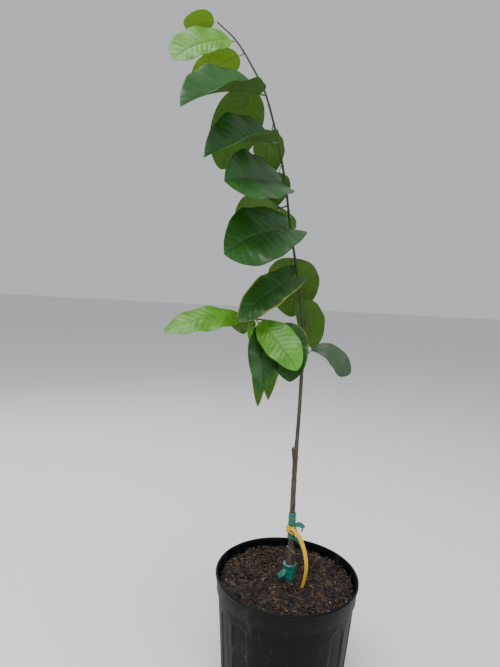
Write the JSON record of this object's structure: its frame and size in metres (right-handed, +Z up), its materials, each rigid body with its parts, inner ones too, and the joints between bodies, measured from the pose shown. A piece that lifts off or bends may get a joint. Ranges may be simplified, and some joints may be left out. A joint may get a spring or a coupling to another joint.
{
  "type": "potted fruit tree",
  "caption": "Young leafy tree with a leaning stem and a side shoot, planted in a ribbed round nursery pot filled with bark mix.",
  "frame": {"origin": "centre of the pot's flat underside", "axes": "+Z up along the tree, +X to the right and -Y towards the viewer of the picture"},
  "size_m": [0.3993, 0.2937, 1.2849],
  "materials": {
    "black_plastic": "satin, scuffed and dusty",
    "bark_mulch": "rough, loose chips",
    "bark": "rough bark, greener higher up",
    "green_stem": "smooth green stem",
    "dark_leaf": "glossy, wet top and pale dull underside",
    "young_leaf": "semi-gloss, light green",
    "teal_tape": "stretched film",
    "yellow_strip": "satin"
  },
  "bodies": {
    "root": {"pot": "black_plastic", "soil": "bark_mulch", "trunk": "bark", "side_shoot": "green_stem", "tie_upper": "teal_tape", "tie_lower": "teal_tape", "plant_tag": "yellow_strip", "leaf_tip": "young_leaf", "leaf_crown_front": "young_leaf", "leaf_crown_back": "young_leaf", "leaf_front_1": "dark_leaf", "leaf_back_1": "dark_leaf", "leaf_front_2": "dark_leaf", "leaf_back_2": "dark_leaf", "leaf_front_3": "dark_leaf", "leaf_back_3": "dark_leaf", "leaf_front_4": "dark_leaf", "leaf_back_4": "dark_leaf", "leaf_front_5": "dark_leaf", "leaf_back_5": "dark_leaf", "leaf_right_1": "dark_leaf", "leaf_right_2": "dark_leaf", "shoot_leaf_long": "young_leaf", "shoot_leaf_bright": "young_leaf", "shoot_leaf_dark": "dark_leaf", "shoot_leaf_slim": "dark_leaf", "shoot_leaf_hanging": "dark_leaf", "shoot_leaf_broad": "dark_leaf", "shoot_leaf_torn": "dark_leaf", "shoot_leaf_young": "young_leaf"}
  },
  "joints": []
}
